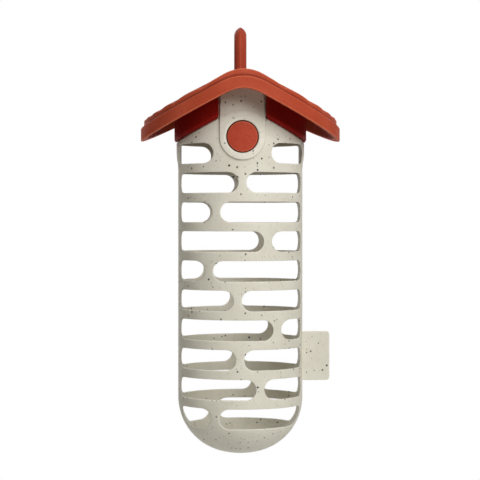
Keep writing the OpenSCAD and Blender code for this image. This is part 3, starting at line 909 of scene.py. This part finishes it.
def tile_drop(y):
    """Drop of the tiles at y: none on a crest, all of it in the grooves between them."""
    wave = np.abs(np.sin(math.pi * y / TILE_PITCH))
    return TILE_GROOVE * (1 - wave ** TILE_SWELL)


def tile_z(x, y):
    return gable(x, TILE_TOP, ROOF_FALL, TILE_FLAT) - tile_drop(y)


def tile_ring(t):
    """The rounded edge of the tiles: out and down by a quarter round, with the groove's drop carried
    along."""
    radius = TILE_FACE_R + TILE_EDGE * math.sin(t)
    down = TILE_EDGE * (1 - math.cos(t))
    return radius, lambda x, y: tile_z(x, y * TILE_FACE_R / radius) - down


def wall_rings(radius, first, last):
    """Rings along an upright wall between two heights, closer together near both."""
    return [(radius, lambda x, y, k=k: first(x, y) * (1 - k) + last(x, y) * k)
            for k in (0.04, 0.25, 0.5, 0.75, 0.96, 1)]


steps = np.array([0, 0.02, 0.06, 0.12, 0.22, 0.36, 0.5])
steps = np.concatenate([steps, 1 - steps[:-1][::-1]])[:-1]
across_tiles = (np.arange(-6, 6)[:, None] * TILE_PITCH + steps * TILE_PITCH).reshape(-1)
across_tiles = across_tiles[np.abs(across_tiles) < TILE_FACE_R * 0.985]
outermost = np.arcsin(np.abs(across_tiles).max() / TILE_FACE_R)
tips = np.linspace(outermost, math.pi / 2, 10)[1:]
tile_turns = np.concatenate([-tips[::-1], np.arcsin(across_tiles / TILE_FACE_R), tips])

eave, fascia, ceiling = gabled(EAVE, EAVE_FLAT), gabled(FASCIA_TOP), gabled(CEILING)
quarter = np.linspace(0, math.pi / 2, 7)
inside_r = ROOF_R - FASCIA_T
rings = [tile_ring(t) for t in np.linspace(0, math.pi / 2, 6)[1:]]
rings += [(TILE_R, lowered(fascia, -0.0002)), (TILE_R + 0.0002, fascia)]
rings += [(ROOF_R - LIP + LIP * math.sin(t), lowered(fascia, LIP * (1 - math.cos(t)))) for t in quarter]
rings += wall_rings(ROOF_R, lowered(fascia, LIP), lowered(eave, -LIP))
rings += [(ROOF_R - LIP + LIP * math.cos(t), lowered(eave, LIP * math.sin(t) - LIP)) for t in quarter[1:]]
rings += [(inside_r + EAVE_EDGE, eave), (inside_r + 0.0001, lowered(eave, -0.0001))]
rings += [(inside_r, lowered(eave, -EAVE_EDGE))]
rings += wall_rings(inside_r, lowered(eave, -EAVE_EDGE), lowered(ceiling, CEILING_EDGE))
rings += [(inside_r - 0.0002, lowered(ceiling, 0.0003))]
roof = Shell()
layer(roof, tile_turns, 73, [(TILE_FACE_R, tile_z), (inside_r - CEILING_EDGE, ceiling)], rings)
HOOK_Y = -0.0114
BOSS_R = 0.0094
BOSS_LOW = 0.241
BOSS_Z = 0.2477
BOSS_EDGE = 0.0005
POST_R = 0.0039
POST_EDGE = 0.0003
CARRIER_POST_Y = 0.024
CARRIER_POST_Z = (0.2373, 0.2425)
COLLAR_POST_Z = (0.2298, 0.2358)


def post(x, y, low, high):
    """A screw post under the roof: a round column with its lower edge bevelled."""
    bevel = [(POST_R - POST_EDGE, low), (POST_R, low + POST_EDGE)]
    turned(roof, [(0, low), *bevel, (POST_R, high), (0, high)], x, y)


boss_edge = [(BOSS_R, BOSS_Z - BOSS_EDGE), (BOSS_R - BOSS_EDGE, BOSS_Z)]
turned(roof, [(0, BOSS_LOW), (BOSS_R, BOSS_LOW), *boss_edge, (0, BOSS_Z)], 0, HOOK_Y)
for side in (-1, 1):
    post(0, side * CARRIER_POST_Y, *CARRIER_POST_Z)
    for side_y in (-1, 1):
        post(side * POST_AT, side_y * POST_AT, *COLLAR_POST_Z)
# Painted sheen: the roof's red is lighter and paler than the brick red, for the pale reflection on its lit
# fascia, on top of the plastic's own red.
roof_red_painted_sheen = red_plastic("roof red, painted sheen", (174, 71, 46), (186, 81, 56))
roof.piece("roof_moulding", "head", "brick_red_plastic", "roof", roof_red_painted_sheen)

# The hook: a red cane of plastic on a round foot, screwed to the roof from below. Its rod is flat inside and
# drawn out to a soft ridge outside. It rises in front and bends over to the rear, with its tip rounded off.
HOOK_Z = 0.2611
HOOK_TIP = math.radians(15)
HOOK_TAPER = math.radians(7)
HOOK_TWIST = math.tan(math.radians(2))
HOOK_OUT = 0.006
HOOK_SIDE = 0.002
HOOK_FLAT = 0.0024
HOOK_SOFT = 0.0005
HOOK_SHIFT = 0.0012
ROD_LOW = BOSS_Z + 0.001
FOOT_R = 0.007
FOOT_TOP = BOSS_Z + 0.0012
FOOT_EDGE = 0.0003
FOOT_ROUND = 0.0008
TENON_LOW = CARRIER_POST_Z[0]
TENON_TOP = BOSS_Z + 0.0005


def rod_outline():
    """The rod's section, as sideways and outward distances: two arcs of radius HOOK_OUT that meet in a soft
    point outward, and a flat with rounded corners inward."""
    reach = math.sqrt(HOOK_OUT ** 2 - HOOK_SIDE ** 2)
    outward = np.linspace(reach, -HOOK_FLAT, 26)
    side = np.sqrt(HOOK_OUT ** 2 - outward ** 2) - HOOK_SIDE
    flat = side[-1]
    corner = np.linspace(0, math.pi / 2, 5)[1:]
    side = np.concatenate([side[:-2], flat - HOOK_SOFT + HOOK_SOFT * np.cos(corner), [flat * 0.5]])
    corner_out = -HOOK_FLAT + HOOK_SOFT - HOOK_SOFT * np.sin(corner)
    outward = np.concatenate([outward[:-2], corner_out, [-HOOK_FLAT]])
    return np.concatenate([np.stack([side, outward], -1), np.stack([-side[::-1], outward[::-1]], -1)[:-1]])


# Each station is the rod's place as y and z, its turn round the bend and the size of its section.
hook = Shell()
outline = rod_outline()
stations = [(HOOK_Y, ROD_LOW, 0.0, 0.0)]
stations += [(HOOK_Y, z, 0.0, 1.0) for z in np.linspace(ROD_LOW, HOOK_Z, 12)[:-1]]
end = math.pi - HOOK_TIP
last = end - HOOK_TAPER + HOOK_TAPER * np.sin(quarter[1:])
for a in np.concatenate([np.linspace(0, end - HOOK_TAPER, 38), last]):
    past = max(0.0, (a - end + HOOK_TAPER) / HOOK_TAPER)
    scale = 1 - 0.45 * (1 - math.sqrt(1 - past ** 2))
    stations.append((HOOK_Y * math.cos(a), HOOK_Z - HOOK_Y * math.sin(a), a, scale))
stations.append((*stations[-1][:3], 0.0))
rings = []
for y, z, a, scale in stations:
    out = np.array([0, -math.cos(a), math.sin(a)])
    away = (scale * outline[:, 1:] + HOOK_SHIFT * (1 - scale)) * out
    ring = np.array([0, y, z]) + scale * outline[:, :1] * [1, 0, 0] + away
    ring[:, 0] += ring[:, 1] * HOOK_TWIST
    rings.append(ring)
hook.grid(np.array(rings).transpose(1, 0, 2), closed=True)
foot_low = [(0, BOSS_Z), (FOOT_R - FOOT_EDGE, BOSS_Z), (FOOT_R, BOSS_Z + FOOT_EDGE)]
foot_top = [(FOOT_R, FOOT_TOP - FOOT_ROUND), (FOOT_R - 0.0002, FOOT_TOP - 0.0003),
            (FOOT_R - FOOT_ROUND, FOOT_TOP), (0, FOOT_TOP)]
turned(hook, foot_low + foot_top, 0, HOOK_Y)
turned(hook, [(0, TENON_LOW), (POST_R, TENON_LOW), (POST_R, TENON_TOP), (0, TENON_TOP)], 0, HOOK_Y)
hook_red = red_plastic("hook red", (160, 61, 40), (170, 69, 47))
hook.piece("hook_cane", "head", "brick_red_plastic", "hook", hook_red)

# The scene: a pale floor well below the hanging feeder, a plain world that looks white, and soft lamps, the
# main one in front on the right. The camera stands where the photograph was taken from.
PICTURE_PX = 480
FOCAL_PX = 1784
SENSOR_MM = 36
CENTRE_Z = 0.1525
DISTANCE = 1.168
SHIFT_PX = (-0.3, -20.6)
camera_turn = math.radians(-2.0)
camera = bpy.data.objects.new("camera", bpy.data.cameras.new("camera"))
bpy.context.scene.collection.objects.link(camera)
camera.data.lens = FOCAL_PX / PICTURE_PX * SENSOR_MM
camera.data.clip_start = 0.05
camera.data.shift_x = SHIFT_PX[0] / PICTURE_PX
camera.data.shift_y = SHIFT_PX[1] / PICTURE_PX
camera.location = (DISTANCE * math.sin(camera_turn), -DISTANCE * math.cos(camera_turn), CENTRE_Z)
camera.rotation_euler = (math.pi / 2, 0, camera_turn)
bpy.context.scene.camera = camera
LAMP_AT = 1.3
LAMP_SIZE = 0.7
LAMP_AIM_Z = 0.14


def lamp(name, around_deg, above_deg, power):
    """A square soft lamp that faces the object, at an angle round from the front and an angle above it."""
    data = bpy.data.lights.new(name, "AREA")
    data.energy, data.size = power, LAMP_SIZE
    light = bpy.data.objects.new(name, data)
    bpy.context.scene.collection.objects.link(light)
    around, above = math.radians(around_deg), math.radians(above_deg)
    flat, up = LAMP_AT * math.cos(above), LAMP_AT * math.sin(above)
    light.location = (flat * math.sin(around), -flat * math.cos(around), LAMP_AIM_Z + up)
    light.rotation_euler = (math.pi / 2 - above, 0, around)


lamp("key", 28, 27, 14.6)
lamp("fill", -60, 18, 3.0)
lamp("left bounce", -40, -50, 2.1)
lamp("right bounce", 47, -58, 4.0)
lamp("rear", 190, 30, 5.0)
FLOOR_Z = -1.4
FLOOR_R = 1.6
FLOOR_SIDES = 64
WHITE = (1, 1, 1, 1)
AMBIENT = (0.07, 0.06, 0.038, 1)


def seen_ray():
    """1 for rays from the camera, mirrored or passed on, which see plain white behind the object, and 0 for
    the rays that light it."""
    ray = Socket.tree.nodes.new("ShaderNodeLightPath")
    seen = Socket(ray.outputs["Is Camera Ray"]) + Socket(ray.outputs["Is Glossy Ray"])
    return (seen + Socket(ray.outputs["Is Transmission Ray"])).math("MINIMUM", 1.0)


floor_turn = np.linspace(0, 2 * math.pi, FLOOR_SIDES + 1)[:-1]
floor_rim = [FLOOR_R * np.cos(floor_turn), FLOOR_R * np.sin(floor_turn), 0 * floor_turn + FLOOR_Z]
floor_mesh = bpy.data.meshes.new("floor")
floor_mesh.from_pydata(np.stack(floor_rim, -1).tolist(), [], [list(range(FLOOR_SIDES))])
floor = bpy.data.objects.new("floor", floor_mesh)
bpy.context.scene.collection.objects.link(floor)
floor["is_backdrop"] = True
pale, shader, place = finish("pale floor", 0.7, 0.3)
tone = noise(place, 3.0).ramp(0.3, 0.7).mixed(colour(226, 226, 224), colour(231, 231, 229))
feed(shader, Base_Color=tone)
white = Socket.node("ShaderNodeEmission", {"Color": WHITE, "Strength": 1.0})
shown = Socket.node("ShaderNodeMixShader", {0: seen_ray(), 1: Socket(shader.outputs[0]), 2: white})
Socket.tree.links.new(shown.socket, Socket.tree.nodes["Material Output"].inputs["Surface"])
floor_mesh.materials.append(pale)
world = bpy.data.worlds.new("studio")
bpy.context.scene.world = world
world.use_nodes = True
Socket.tree = world.node_tree
sky = Socket.tree.nodes["Background"]
Socket.tree.links.new(seen_ray().mixed(AMBIENT, WHITE).socket, sky.inputs["Color"])
sky.inputs["Strength"].default_value = 1.0
bpy.context.scene.view_settings.view_transform = "Standard"

low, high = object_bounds()
